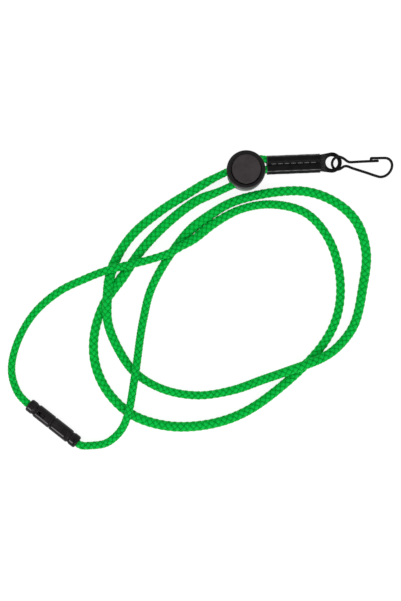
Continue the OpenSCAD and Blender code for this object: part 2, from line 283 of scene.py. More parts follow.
# -------------------------------- meshes
def new_object(name, points, faces):
    """A mesh object with its faces turned outward."""
    mesh = bpy.data.meshes.new(name)
    mesh.from_pydata([tuple(map(float, p)) for p in points], [], [tuple(map(int, f)) for f in faces])
    work = bmesh.new()
    work.from_mesh(mesh)
    bmesh.ops.recalc_face_normals(work, faces=work.faces)
    work.to_mesh(mesh)
    work.free()
    obj = bpy.data.objects.new(name, mesh)
    bpy.context.scene.collection.objects.link(obj)
    return obj


def skin(rows, columns, first=0, ring=False):
    """Quads over a grid of points whose columns close up; the rows close up too for a ring."""
    i, k = np.meshgrid(np.arange(rows if ring else rows - 1), np.arange(columns), indexing="ij")
    below, on = (i + 1) % rows, (k + 1) % columns
    here, there = i * columns, below * columns
    quads = np.stack([here + k, here + on, there + on, there + k], axis=-1)
    return first + quads.reshape(-1, 4)


def loft(name, rings, ring=False):
    """A closed solid through rings of points: capped at both ends, or joined end to end."""
    rows, columns = rings.shape[:2]
    faces = skin(rows, columns, ring=ring).tolist()
    if not ring:
        faces += [list(range(columns)), list(range((rows - 1) * columns, rows * columns))]
    return new_object(name, rings.reshape(-1, 3), faces)


def lathe(name, profile, closed=False, steps=96):
    """A solid turned about Z from a line of (radius, height), with a flat face at an open end."""
    points, rows = [], []
    for radius, height in profile:
        turns = steps if radius > 1e-6 else 1
        angles = np.arange(turns) * 2 * math.pi / turns
        rows.append([len(points) + k for k in range(turns)])
        points += [(radius * math.cos(a), radius * math.sin(a), height) for a in angles]
    faces = []
    for a, b in zip(rows, rows[1:] + (rows[:1] if closed else [])):
        for k in range(steps if max(len(a), len(b)) > 1 else 0):
            corners = [a[k % len(a)], a[(k + 1) % len(a)], b[(k + 1) % len(b)], b[k % len(b)]]
            faces.append(list(dict.fromkeys(corners)))
    if not closed:
        faces += [row for row in (rows[0], rows[-1]) if len(row) > 1]
    return new_object(name, points, faces)


def prism(name, outline, low, high):
    """A straight solid over a plan outline."""
    rings = [[(x, y, z) for x, y in outline] for z in (low, high)]
    return loft(name, np.array(rings))


def rod(name, radius, start, end, flare=0.0, steps=48):
    """A cylinder along X, wider at both ends by the flare."""
    middle = [(radius, start), (radius + flare, start - flare), (0, start - flare)]
    far = [(radius, end), (radius + flare, end + flare), (0, end + flare)]
    obj = lathe(name, middle[::-1] + far, steps=steps)
    obj.data.transform(Matrix.Rotation(math.pi / 2, 4, "Y"))
    return obj


def sweep(name, path, radius, sides=16, up=(0, 0, 1), round_start=False, round_end=False):
    """A round bar along a line, with domed ends where asked."""
    path = np.array(path, float)
    size = np.full(len(path), float(radius))
    dome = np.radians(np.linspace(84, 12, 6))
    ahead = unit_rows(np.array([path[1] - path[0], path[-1] - path[-2]]))
    if round_start:
        tip = path[0] - np.outer(np.sin(dome), ahead[0]) * radius
        path, size = np.vstack([tip, path]), np.concatenate([radius * np.cos(dome), size])
    if round_end:
        tip = path[-1] + np.outer(np.sin(dome[::-1]), ahead[1]) * radius
        path, size = np.vstack([path, tip]), np.concatenate([size, radius * np.cos(dome[::-1])])
    return loft(name, path[:, None] + size[:, None, None] * circles_along(path, sides, up))


def store(obj, label, values):
    """Keeps a number for each point of a mesh, for its material to read."""
    layer = obj.data.attributes.new(label, "FLOAT", "POINT")
    layer.data.foreach_set("value", values.astype(np.float32))


def join(obj, others):
    """Adds the shells of other pieces to obj; the others are used up."""
    work = bmesh.new()
    work.from_mesh(obj.data)
    for other in others:
        work.from_mesh(other.data)
        bpy.data.objects.remove(other)
    work.to_mesh(obj.data)
    work.free()
    return obj


def apply_modifiers(obj):
    """Puts what the modifiers make into the mesh itself."""
    graph = bpy.context.evaluated_depsgraph_get()
    mesh = bpy.data.meshes.new_from_object(obj.evaluated_get(graph))
    mesh.name = obj.name
    obj.modifiers.clear()
    obj.data = mesh


def combine(obj, others, operation):
    """Adds to or cuts from obj with other solids, which are used up."""
    for other in others:
        step = obj.modifiers.new("combine", "BOOLEAN")
        step.operation = operation
        step.solver = "EXACT"
        step.object = other
        apply_modifiers(obj)
        bpy.data.objects.remove(other)
    return obj


def soften(obj, width, angle=38, segments=2):
    """Takes the sharp edges off a moulded piece."""
    bevel = obj.modifiers.new("soften", "BEVEL")
    bevel.width = width
    bevel.segments = segments
    bevel.limit_method = "ANGLE"
    bevel.angle_limit = math.radians(angle)
    bevel.use_clamp_overlap = True
    apply_modifiers(obj)
    return obj


def turn_about(obj, centre, turn):
    """Moves a piece drawn about its own origin to its centre, turned in plan by degrees."""
    obj.data.transform(Matrix.Translation(Vector(centre)) @ Matrix.Rotation(math.radians(turn), 4, "Z"))
    return obj


def dress(obj, material, nodes, body=None, sharp=32):
    """Gives a finished piece its material and its body, and hides the CAD nodes it stands for."""
    obj.data.transform(Matrix.Scale(MM, 4))
    obj.data.shade_smooth()
    obj.data.set_sharp_from_angle(angle=math.radians(sharp))
    obj.data.materials.clear()
    obj.data.materials.append(material)
    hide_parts(*nodes)
    if body:
        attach(obj, body)
    return obj


# -------------------------------- materials
class Shader:
    """A node material with one principled shader, and short ways to add nodes to it."""

    def __init__(self, name, roughness, specular=0.5):
        self.material = bpy.data.materials.new(name)
        self.material.use_nodes = True
        self.tree = self.material.node_tree
        self.surface = self.tree.nodes["Principled BSDF"]
        self.set("Roughness", roughness)
        self.set("Specular IOR Level", specular)

    def feed(self, socket, value):
        """Links another node's output to a socket, or fixes a number or colour on it."""
        if isinstance(value, bpy.types.NodeSocket):
            self.tree.links.new(value, socket)
        else:
            socket.default_value = value

    def set(self, name, value):
        """Gives one of the surface's own inputs a number, a colour or another node's output."""
        self.feed(self.surface.inputs[name], value)

    def node(self, kind, **inputs):
        """Adds a node; an input is named with _ for a space, or _0, _1 and so on by its place."""
        made = self.tree.nodes.new(kind)
        for name, value in inputs.items():
            place = name[1:]
            self.feed(made.inputs[int(place) if place.isdigit() else name.replace("_", " ")], value)
        return made

    def math(self, operation, a, b=0.0):
        """One sum of two numbers or outputs."""
        made = self.node("ShaderNodeMath", _0=a, _1=b)
        made.operation = operation
        return made.outputs[0]

    def attribute(self, name):
        """A number stored on the mesh."""
        made = self.tree.nodes.new("ShaderNodeAttribute")
        made.attribute_name = name
        return made.outputs["Fac"]

    def place(self):
        """Where a point is on the piece, in metres."""
        return self.node("ShaderNodeTexCoord").outputs["Object"]

    def noise(self, scale, detail=3.0, rough=0.5, vector=None):
        """Soft noise with the given number of bumps to a metre."""
        where = vector or self.place()
        made = self.node("ShaderNodeTexNoise", Vector=where, Scale=scale, Detail=detail, Roughness=rough)
        return made.outputs["Fac"]

    def cells(self, scale, vector=None):
        """Distance inside grain cells, with the given number of cells to a metre."""
        made = self.node("ShaderNodeTexVoronoi", Vector=vector or self.place(), Scale=scale)
        return made.outputs["Distance"]

    def ramp(self, factor, stops):
        """Colours along a factor, from stops of (place, colour)."""
        made = self.node("ShaderNodeValToRGB", Fac=factor)
        elements = made.color_ramp.elements
        while len(elements) < len(stops):
            elements.new(0.5)
        for element, (place, colour) in zip(elements, stops):
            element.position = place
            element.color = (*colour, 1)
        return made.outputs["Color"]

    def remap(self, value, **ends):
        """A number carried from one range to another; the ends are From_Min, To_Max and so on."""
        return self.node("ShaderNodeMapRange", Value=value, **ends).outputs["Result"]

    def span(self, factor, low, high):
        """A factor from 0 to 1 stretched from low to high."""
        return self.remap(factor, To_Min=low, To_Max=high)

    def mix(self, factor, a, b):
        """Blends two colours."""
        made = self.tree.nodes.new("ShaderNodeMix")
        made.data_type = "RGBA"
        for place, value in ((0, factor), (6, a), (7, b)):
            self.feed(made.inputs[place], value)
        return made.outputs[2]

    def edges(self, low, high):
        """Zero on flat and hollow places, and one on sharp outer edges."""
        bend = self.tree.nodes.new("ShaderNodeNewGeometry").outputs["Pointiness"]
        return self.remap(bend, From_Min=low, From_Max=high)

    def dot(self, vector, toward):
        """How far a vector goes in a direction."""
        made = self.node("ShaderNodeVectorMath", _0=vector, _1=toward)
        made.operation = "DOT_PRODUCT"
        return made.outputs["Value"]

    def facing(self, toward, low=0.1, high=0.5):
        """One where the surface turns toward a direction, and zero where it is flat or turns away."""
        normal = self.node("ShaderNodeTexCoord").outputs["Normal"]
        return self.remap(self.dot(normal, toward), From_Min=low, From_Max=high)

    def beyond(self, centre, toward, reach):
        """Rises to one at a reach past a centre, on the side that lies away from a direction."""
        offset = self.node("ShaderNodeVectorMath", _0=self.place(), _1=centre)
        offset.operation = "SUBTRACT"
        return self.remap(self.dot(offset.outputs["Vector"], toward), From_Min=-reach / 2, From_Max=-reach)

    def colour(self, output):
        """Joins a colour to the surface."""
        self.set("Base Color", output)

    def roughness(self, output):
        """Joins a roughness to the surface."""
        self.set("Roughness", output)

    def bump(self, height, distance, strength=1.0):
        """Joins a height to the surface as fine relief, with the distance in metres."""
        made = self.node("ShaderNodeBump", Height=height, Strength=strength, Distance=distance)
        self.set("Normal", made.outputs["Normal"])


def braid_material():
    """Green braided polyester: fibres along each yarn, with painted shade where a yarn dips under and along
    the crevices at its sides.
    """
    shader = Shader("braided_polyester", roughness=0.6, specular=0.05)
    across = shader.attribute("across")
    along = shader.attribute("along")
    ply = shader.math("ADD", shader.math("MULTIPLY", across, 5.0), shader.math("MULTIPLY", along, 1.6))
    drawn = shader.math("MULTIPLY", along, 0.7)
    strand = shader.node("ShaderNodeCombineXYZ", X=ply, Y=drawn, Z=shader.attribute("yarn")).outputs[0]
    fibre = shader.noise(1.5, detail=4, rough=0.65, vector=strand)
    patch = shader.noise(260, detail=2)
    # The lift, with fibre and patch tone added, picks the colour: painted shade where a yarn lies low, in
    # the braid's crevices.
    lift = shader.math("ADD", shader.attribute("lift"), shader.math("MULTIPLY", fibre, 0.5))
    lift = shader.math("ADD", lift, shader.math("MULTIPLY", patch, 0.22))
    shader.colour(shader.ramp(shader.math("SUBTRACT", lift, 0.35), [
        (0.0, (0.0, 0.018, 0.0015)), (0.3, (0.0, 0.088, 0.007)),
        (0.6, (0.0, 0.262, 0.021)), (1.0, (0.001, 0.5, 0.058))]))
    shader.roughness(shader.span(fibre, 0.42, 0.7))
    shader.bump(fibre, 0.00012, 0.8)
    return shader.material


def vinyl_material():
    """Black grained vinyl, with a painted highlight along its creases and a lighter lip at its mouth."""
    shader = Shader("grained_vinyl", roughness=0.45, specular=0.09)
    grain = shader.cells(2600)
    cloud = shader.noise(320, detail=3)
    body = shader.ramp(cloud, [(0.3, (0.002, 0.0016, 0.002)), (0.7, (0.006, 0.005, 0.006))])
    # The stored amount is the painted crease highlight and the lighter lip, broken up by noise.
    highlight_and_wear_mask = shader.math("MULTIPLY", shader.attribute("highlight_and_wear"), shader.span(shader.noise(900, 3), 0.4, 1.0))
    shader.colour(shader.mix(highlight_and_wear_mask, body, (0.24, 0.24, 0.245, 1)))
    shader.roughness(shader.span(shader.noise(700, 2), 0.34, 0.58))
    relief = shader.math("ADD", shader.math("MULTIPLY", grain, 0.7), shader.math("MULTIPLY", cloud, 0.5))
    shader.bump(relief, 0.00008, 0.6)
    return shader.material


def thread_material():
    """Dark sewing thread with its plies twisted."""
    shader = Shader("sewing_thread", roughness=0.5, specular=0.4)
    fuzz = shader.noise(6000, detail=3)
    shader.colour(shader.ramp(fuzz, [(0.3, (0.07, 0.07, 0.073)), (0.7, (0.19, 0.19, 0.195))]))
    shader.roughness(shader.span(fuzz, 0.4, 0.7))
    shader.bump(fuzz, 0.00004, 0.6)
    return shader.material


# How far from the middle of a recessed piece its walls with the painted highlight are, in metres.
WALL_REACH = 0.0008


def plastic_material(name, dark, light, edge, gloss, grain, relief, specular=0.4, highlight_and_wear=(0.52, 0.62),
                     toward=None, centre=None):
    """Moulded plastic: cloudy colour, uneven gloss, a fine grain, and lighter edges, partly wear and partly
    a painted highlight.

    With a direction, the lighter edges keep to what faces it, as a painted highlight; with a centre, the
    painted highlight is on the inner walls of recesses.
    """
    shader = Shader(name, roughness=gloss[0], specular=specular)
    cloud = shader.noise(240, detail=4, rough=0.6)
    body = shader.ramp(cloud, [(0.3, dark), (0.7, light)])
    # Outer edges are lightened, partly as wear and partly as a painted highlight; a direction or a centre
    # makes it a painted highlight only.
    highlight_and_wear_mask = shader.edges(*highlight_and_wear)
    if centre:
        highlight_and_wear_mask = shader.math("MULTIPLY", shader.facing(toward), shader.beyond(centre, toward, WALL_REACH))
    elif toward:
        highlight_and_wear_mask = shader.math("MULTIPLY", highlight_and_wear_mask, shader.facing(toward))
    shader.colour(shader.mix(highlight_and_wear_mask, body, (*edge, 1)))
    scuff = shader.noise(1500, detail=4, rough=0.7)
    shader.roughness(shader.span(scuff, *gloss))
    shader.bump(shader.noise(grain, detail=3), relief, 0.5)
    return shader.material


def eye_material():
    """Black moulding, smooth round the ring and with a grey sparkle grain over the tab."""
    shader = Shader("grained_eye_moulding", roughness=0.6, specular=0.07)
    place = shader.node("ShaderNodeSeparateXYZ", Vector=shader.place()).outputs["X"]
    fade = shader.remap(place, From_Min=GRAIN_END, From_Max=GRAIN_START)
    speck = shader.noise(2600, detail=3, rough=0.6)
    plain = shader.ramp(shader.noise(260), [(0.3, (0.0015, 0.0015, 0.0017)), (0.7, (0.005, 0.005, 0.0055))])
    grain = shader.ramp(speck, [(0.42, (0.004, 0.004, 0.0045)), (0.64, (0.05, 0.05, 0.052))])
    shader.colour(shader.mix(fade, plain, grain))
    shader.roughness(shader.span(speck, 0.45, 0.75))
    shader.bump(speck, 0.00012, 0.6)
    return shader.material


def steel_material():
    """Bright drawn spring wire."""
    shader = Shader("spring_wire", roughness=0.3)
    shader.set("Metallic", 1.0)
    drawn = shader.noise(2400, detail=4)
    shader.colour(shader.ramp(drawn, [(0.3, (0.45, 0.45, 0.47)), (0.7, (0.66, 0.66, 0.68))]))
    shader.roughness(shader.span(drawn, 0.2, 0.42))
    shader.bump(drawn, 0.00002, 0.4)
    return shader.material


# -------------------------------- cords
def yarn_rings(centre, out, size, over):
    """The outline of one yarn at each point of a centreline, on the side given by out."""
    line = centre + out * (size * (YARN_RADIUS + YARN_WEAVE * over))[:, None]
    across = unit_rows(np.cross(unit_rows(np.gradient(line, axis=0)), out))
    half_width = size * YARN_WIDTH / 2 * (1 + YARN_SWELL * over)
    half_thick = size * YARN_THICKNESS / 2
    return np.stack([line + across * (u * half_width)[:, None] + out * (v * half_thick)[:, None]
                     for u, v in YARN_OUTLINE], axis=1)


def yarn_faces(rows, columns, first):
    """The faces of one yarn, closed at both ends, whose points start at an index."""
    ends = [[first + row * columns + k for k in range(columns)] for row in (0, rows - 1)]
    return skin(rows, columns, first).tolist() + ends


def yarn_values(along, over, yarn):
    """What the material reads at each point of a yarn: across, along, lift and which yarn it is."""
    u, v = (np.array(column) for column in zip(*YARN_OUTLINE))
    lift = LIFT_MIDDLE + LIFT_OF_WEAVE * over[:, None] + LIFT_OF_OUTLINE * v[None]
    return np.stack(np.broadcast_arrays(u[None], along[:, None], lift, YARN_APART * yarn), axis=-1)


def braid(name, route, lie):
    """A round braid over a core, and its centreline in metres."""
    centre = evenly(smooth_curve(route) / MM, BRAID_PITCH / SAMPLES_PER_PITCH)
    along = distance_along(centre)
    part, width, roll = (np.array(column, float) for column in zip(*lie))
    size = np.interp(along / along[-1], part, width)
    roll = np.radians(np.interp(along / along[-1], part, roll))
    tall = np.minimum(size, FLAT_FROM)
    centre[:, 2] += np.maximum(BRAID_RADIUS * tall - CORD_RADIUS, 0)
    _, side, top = frames_along(centre)
    wind = 2 * math.pi * along / BRAID_PITCH
    weave = np.cos(YARNS_EACH_WAY * wind)
    rows, columns = len(centre), len(YARN_OUTLINE)
    points, faces, values = [], [], []
    for way in (1, -1):
        over = way * weave
        for start in range(YARNS_EACH_WAY):
            angle = way * wind + roll + 2 * math.pi * start / YARNS_EACH_WAY
            out = np.cos(angle)[:, None] * side + np.sin(angle)[:, None] * top
            rings = yarn_rings(centre, out, size, over)
            rings[:, :, 2] += (centre[:, 2, None] - rings[:, :, 2]) * (1 - tall / size)[:, None]
            faces += yarn_faces(rows, columns, len(points) * rows * columns)
            values.append(yarn_values(along, over, len(points)).reshape(-1, 4))
            points.append(rings.reshape(-1, 3))
    core = sweep(name, centre[::CORE_EVERY], CORE_RADIUS, sides=CORE_SIDES)
    base = len(points) * rows * columns
    faces += [[base + k for k in polygon.vertices] for polygon in core.data.polygons]
    points.append(np.array([v.co for v in core.data.vertices]))
    values.append(np.zeros((len(points[-1]), 4)))
    bpy.data.objects.remove(core)
    cord = new_object(name, np.vstack(points), faces)
    for label, column in zip(("across", "along", "lift", "yarn"), np.vstack(values).T):
        store(cord, label, column)
    return cord, centre * MM


def add_cords():
    """Both strands, from inside the sleeve to inside the connector, each with its centreline."""
    green = braid_material()
    made = []
    strands = (("strand_a", "cord_a", ROUTE_A, LIE_A), ("strand_b", "cord_b", ROUTE_B, LIE_B))
    for name, node, route, lie in strands:
        cord, line = braid(name, route, lie)
        dress(cord, green, [node], sharp=180)
        made.append((cord, line))
    return made


# -------------------------------- sleeve
SLEEVE_MOUTH = (8.7, 2.9, 2.15)
SLEEVE_TURN = 2.2
SLEEVE_LENGTH = 22.0
SLEEVE_STEPS = 110
STITCHES = 7
STITCH_MARGIN = 1.5
STITCH_PITCH = (SLEEVE_LENGTH - 2 * STITCH_MARGIN) / STITCHES
STITCH_LENGTH = 1.75
# A stitch is two plies of this radius, this far from its middle line and wound by these half turns.
PLY_R = 0.105
PLY_OFFSET = 0.085
PLY_WIND = 2.4
# How far from its middle a stitch starts to sink at each end, as a share of its length, and how steeply.
SINK_FROM = 0.4
SINK_SLOPE = 4.0
# The thread pulls the valley down by up to twice this, over about this distance to each side.
VALLEY_PULL = 0.09
VALLEY_REACH = 0.55
# Half of the sleeve's section as (across, up), from the stitched valley round to the middle of its side.
LOBE = [
    (0.0, 1.42), (0.3, 1.5), (0.7, 1.8), (1.2, 1.98), (1.7, 2.03), (2.2, 2.0), (2.6, 1.9), (2.78, 1.97),
    (2.95, 1.84), (3.15, 1.52), (3.4, 1.1), (3.6, 0.6), (3.7, 0.0),
]
LOWER_SIDE = 1.11
CREASE = (2.6, 2.95)
LIP = 0.22
VINYL = 0.42
MOUTH_DEPTH = 3.0


def sleeve_section():
    """The sleeve's outline, and how strongly each point along it takes the painted crease highlight."""
    y, z = (np.array(column) for column in zip(*LOBE))
    spans = len(LOBE) - 1
    fine = np.linspace(0, spans, 3 * spans + 1)
    y, z = (np.interp(fine, range(spans + 1), column) for column in (y, z))
    quarter = np.stack([y, z], axis=1)
    upper = np.vstack([quarter[::-1], quarter[1:] * (-LOWER_SIDE, 1)])
    outline = np.vstack([upper, upper[-2:0:-1] * (1, -1)])
    across = np.abs(outline[:, 0]) / LOWER_SIDE
    crease = (across > CREASE[0]) & (across < CREASE[1])
    # The painted highlight is on the upper creases only: full on the side toward -Y and weaker on the
    # other.
    highlight_and_wear_mask = np.where(crease & (outline[:, 1] > 0), np.where(outline[:, 0] < 0, 1.0, 0.4), 0.0)
    return outline, highlight_and_wear_mask


def valley_height(x):
    """How deep the stitching pulls the valley down at a place along the sleeve."""
    return VALLEY_PULL * (1 + np.cos(2 * math.pi * (x - STITCH_MARGIN) / STITCH_PITCH))


def make_sleeve():
    """A vinyl tube folded round both cords, pulled in along its stitched middle."""
    outline, highlight_and_wear_mask = sleeve_section()
    ahead = np.roll(outline, -1, axis=0) - np.roll(outline, 1, axis=0)
    inward = unit_rows(np.stack([ahead[:, 1], -ahead[:, 0]], axis=1))
    if (inward * outline).sum() > 0:
        inward = -inward
    lip = np.linspace(0, math.pi / 2, 5)
    turned = [(LIP * (1 - math.sin(a)), LIP * (1 - math.cos(a))) for a in lip[::-1]]
    inner = [(MOUTH_DEPTH, VINYL), (0.6, VINYL), (0.12, VINYL - 0.1), (0.0, VINYL - 0.2)]
    near = inner + turned
    body = [(x, 0.0) for x in np.linspace(LIP, SLEEVE_LENGTH - LIP, SLEEVE_STEPS)[1:-1]]
    far = [(SLEEVE_LENGTH - x, inset) for x, inset in near[::-1]]
    rings, highlight_and_wear = [], []
    for x, inset in near + body + far:
        pull = valley_height(x) * np.exp(-(outline[:, 0] / VALLEY_REACH) ** 2)
        swell = 1 + 0.006 * math.sin(x * 0.9) + 0.004 * math.sin(x * 2.3 + 1)
        section = outline * (swell, 1) + inward * inset
        section[:, 1] -= np.sign(section[:, 1]) * pull
        rings.append(np.column_stack([np.full(len(section), x), section]))
        # Along the sleeve the painted crease highlight varies a little, and the turned lip at the mouth is
        # drawn lighter.
        lighter_lip = 0.5 if inset == 0 and x < 0.4 else 0.0
        highlight_and_wear.append(highlight_and_wear_mask * (0.75 + 0.25 * math.sin(x * 1.7 + 0.6)) + lighter_lip)
    sleeve = loft("vinyl_sleeve", np.array(rings))
    store(sleeve, "highlight_and_wear", np.concatenate(highlight_and_wear))
    return turn_about(sleeve, SLEEVE_MOUTH, SLEEVE_TURN)


def make_stitching():
    """Two twisted plies of thread for each stitch, on the top and on the underside."""
    plies = []
    for i in range(STITCHES):
        middle = STITCH_MARGIN + STITCH_PITCH * (i + 0.5)
        run = np.linspace(-0.5, 0.5, 26)
        sink = np.where(np.abs(run) > SINK_FROM, (np.abs(run) - SINK_FROM) * SINK_SLOPE, 0.0)
        for face in (1, -1):
            for ply in (0, math.pi):
                turn = ply + run * PLY_WIND * math.pi
                x = middle + run * (STITCH_LENGTH + 0.3)
                z = LOBE[0][1] - valley_height(x) + 0.1 - sink
                height = face * (z + PLY_OFFSET * np.sin(turn))
                path = np.column_stack([x, PLY_OFFSET * np.cos(turn), height])
                plies.append(sweep("ply", path, PLY_R, sides=8, round_start=True, round_end=True))
    stitching = plies[0]
    stitching.name = stitching.data.name = "thread_stitches"
    return turn_about(join(stitching, plies[1:]), SLEEVE_MOUTH, SLEEVE_TURN)


# -------------------------------- eye
EYE_CENTRE = (35.5, 3.8, 2.15)
EYE_HOLE_R = 2.55
EYE_RING_R = 4.15
EYE_THICKNESS = 1.2
EYE_EDGE_R = 0.3
EYE_STEPS = 120
TAB_END = -4.82
TAB_HALF = 3.4
TONGUE_END = -12.9
TONGUE_HALF = 3.0
TONGUE_THICKNESS = EYE_THICKNESS - 0.1
# Where the grain of the tab begins to fade into the smooth ring, and where it ends, in metres along X.
GRAIN_START = 0.0322
GRAIN_END = 0.0338


def eye_edge(angle):
    """Distance from the middle of the hole to the outer edge: a ring that flares into a tab."""
    corner = math.atan2(TAB_HALF, TAB_END)
    leave = corner - math.acos(EYE_RING_R / math.hypot(TAB_END, TAB_HALF))
    angle = abs((angle + math.pi) % (2 * math.pi) - math.pi)
    if angle < leave:
        return EYE_RING_R
    if angle < corner:
        return EYE_RING_R / math.cos(angle - leave)
    return TAB_END / math.cos(angle)


def make_eye():
    """A flat moulded ring with a tab and a tongue that goes into the sleeve."""
    rings = []
    for angle in np.linspace(0, 2 * math.pi, EYE_STEPS + 1)[:-1]:
        low, high, half = EYE_HOLE_R, eye_edge(angle), EYE_THICKNESS / 2
        corners = ((low, -half), (high, -half), (high, half), (low, half))
        section = rounded([(*corner, EYE_EDGE_R) for corner in corners], closed=True, steps=3)
        rings.append([(r * math.cos(angle), r * math.sin(angle), z) for r, z in section])
    eye = loft("moulded_eye", np.array(rings), ring=True)
    root = TAB_END + 0.3
    outline = rounded([(root, -TONGUE_HALF, 0), (root, TONGUE_HALF, 0), (TONGUE_END, TONGUE_HALF, 0.4),
                       (TONGUE_END, -TONGUE_HALF, 0.4)], closed=True)
    tongue = prism("tongue", outline, -TONGUE_THICKNESS / 2, TONGUE_THICKNESS / 2)
    combine(eye, [tongue], "UNION")
    return turn_about(eye, EYE_CENTRE, SLEEVE_TURN)


# -------------------------------- slider
CORD_ANGLE = 205
CORD_HEIGHT = 3.4
CORD_SPACING = 5.7
HOLE_R = 2.08
HOLE_HALF = 5.9
HOLE_FLARE = 2.1
SLOT_R = 1.76
WELL_FLOOR = 0.4
FOOT_R = 7.7
FOOT_TOP = 4.4
GROOVE_R = 7.2
GROOVE_TOP = 5.3
RIM_R = 7.9
RIM_TOP = 8.5
CHAMBER_R = 5.95
SHELF = 5.6
WELL_R = 5.3
BUTTON_R = 5.75
BUTTON_TOP = 10.6
BUTTON_TRAVEL = 0.9
CORE_R = 5.2
BUTTON_FOOT = 1.4
CAP_FLOOR = 7.6
# Rings that keep the lighter edge of the button, partly wear and partly a painted highlight, from spreading
# over its face.
FACE_RINGS = (4.2, 3.6, 3.0, 2.4, 1.8, 1.2, 0.6, 0.2)
SLIDER_STEPS = 144
SPRING_TURNS = 2.2
SPRING_WIRE_R = 0.2
SPRING_GAP = 0.22


def place_along_cord(obj, side):
    """Puts a cutter that runs along X onto one of the two cords through the slider."""
    obj.data.transform(Matrix.Translation((0, side * CORD_SPACING / 2, CORD_HEIGHT)))
    obj.data.transform(Matrix.Rotation(math.radians(CORD_ANGLE), 4, "Z"))
    return obj


def make_barrel():
    """The slider's body: a foot, a groove, a rim, and two flared holes for the cords."""
    profile = rounded([
        (FOOT_R - 0.4, 0, 0), (FOOT_R, 0, 0.3), (FOOT_R, FOOT_TOP, 0.35), (GROOVE_R, FOOT_TOP + 0.1, 0.15),
        (GROOVE_R, GROOVE_TOP, 0.15), (RIM_R, GROOVE_TOP + 0.1, 0.25), (RIM_R, RIM_TOP, 0.75),
        (CHAMBER_R, RIM_TOP, 0.35), (CHAMBER_R, SHELF, 0), (WELL_R, SHELF, 0),
        (WELL_R, WELL_FLOOR, 0)], steps=6)
    barrel = lathe("slider_body", profile, steps=SLIDER_STEPS)
    holes = [place_along_cord(rod("hole", HOLE_R, -HOLE_HALF, HOLE_HALF, flare=HOLE_FLARE), side)
             for side in (-1, 1)]
    return combine(barrel, holes, "DIFFERENCE")


def make_button():
    """The push button: a flat cap with a fine raised rim, and a core with a slot for each cord."""
    cap = rounded([(CORE_R, CAP_FLOOR, 0), (BUTTON_R - 0.1, CAP_FLOOR, 0), (BUTTON_R, CAP_FLOOR + 0.1, 0),
                   (BUTTON_R, BUTTON_TOP, 0.5), (BUTTON_R - 0.75, BUTTON_TOP - 0.02, 0.1),
                   (BUTTON_R - 0.9, BUTTON_TOP - 0.1, 0.1), (BUTTON_R - 1.1, BUTTON_TOP - 0.1, 0)], steps=5)
    foot = [(CORE_R - 0.2, BUTTON_FOOT), (CORE_R, BUTTON_FOOT + 0.2)]
    face = [(radius, BUTTON_TOP - 0.1) for radius in FACE_RINGS]
    button = lathe("slider_push_button", foot + cap + face, steps=SLIDER_STEPS)
    stadium = [(-z, y) for y, z in circle_arc((0, BUTTON_TRAVEL), SLOT_R, 0, 180, 24)
               + circle_arc((0, 0), SLOT_R, 180, 360, 24)]
    slots = []
    for side in (-1, 1):
        slot = prism("slot", stadium, -RIM_R, RIM_R)
        slot.data.transform(Matrix.Rotation(math.pi / 2, 4, "Y"))
        slots.append(place_along_cord(slot, side))
    return combine(button, slots, "DIFFERENCE")


def make_spring():
    """A short coil spring under the button's cap."""
    turn = np.linspace(0, 2 * math.pi * SPRING_TURNS, 190)
    radius = (CORE_R + CHAMBER_R) / 2
    height = np.interp(turn, (turn[0], turn[-1]), (SHELF + SPRING_GAP, CAP_FLOOR - SPRING_GAP))
    path = np.column_stack([radius * np.cos(turn), radius * np.sin(turn), height])
    return sweep("button_spring", path, SPRING_WIRE_R, sides=12, round_start=True, round_end=True)


# -------------------------------- hook
# How the wire's plane points in plan and is tipped over, in degrees, and its rise along the hook.
HOOK_TURN = -5
HOOK_TIP = 28.5
HOOK_RISE = 0.03
WIRE_R = 0.55
WIRE_SIDES = 20
WIRE_STEPS = 10
# Stretches of the wire as plan points with a lift, and its arcs as (centre, radius, start, end, steps).
NOSE = [(51.25, 4.15, 1.2), (51.15, 4.65, 1.02), (51.22, 5.1, 0.54), (51.85, 5.24, 0.12), (53.3, 5.25, 0)]
LOWER_ARM = [(49.2, 0.02, 0), (43.8, 1.66, 0), (42.4, 2.2, 0), (41.5, 2.38, 0), (40.6, 2.25, 0)]
NECK = [(39.8, 5.47, 0), (40.7, 4.95, 0), (41.6, 4.33, 0), (42.4, 3.97, 0), (43.2, 3.86, 0)]
NOSE_ARC = ((56.89, 2.05), 3.2, 90, -9.6, 7)
BOW_ARC = ((56, 2.2), 4.1, -22.6, -107.9, 7)
EYE_LOOP = ((38.1, 3.55), 2.42, -55, -290, 15)
GATE_START = (43.5, 3.86)
GATE_MIDDLE = (47.4, 4.02)
# The gate arm's line passes through this point; on the real hook the arm bends between its start and here,
# and past it moves as one piece.
GATE_BENT = (51.2, 4.13)
GATE_END = (54.5, 4.22)


def hook_point(x, y, lift=0.0):
    """A plan point of the wire, raised into the hook's tipped plane."""
    dx, dy = x - EYE_CENTRE[0], y - EYE_CENTRE[1]
    turn = math.radians(HOOK_TURN)
    along = dx * math.cos(turn) + dy * math.sin(turn)
    across = dy * math.cos(turn) - dx * math.sin(turn)
    return (x, y, EYE_CENTRE[2] + along * HOOK_RISE + across * math.tan(math.radians(HOOK_TIP)) + lift)


def hook_line():
    """The middle of the wire, from the nose round the bow and the eye loop to the end of the gate."""
    bow = [(*p, 0) for p in circle_arc(*NOSE_ARC) + circle_arc(*BOW_ARC)]
    loop = [(*p, 0) for p in circle_arc(*EYE_LOOP)]
    plan = NOSE + bow + LOWER_ARM + loop + NECK
    gate = (GATE_START, GATE_MIDDLE, GATE_BENT, GATE_END)
    line = smooth_curve([hook_point(*p) for p in [*plan, *gate]], per_span=WIRE_STEPS)
    split = len(plan) * WIRE_STEPS
    return line[:split + 1], line[split:]


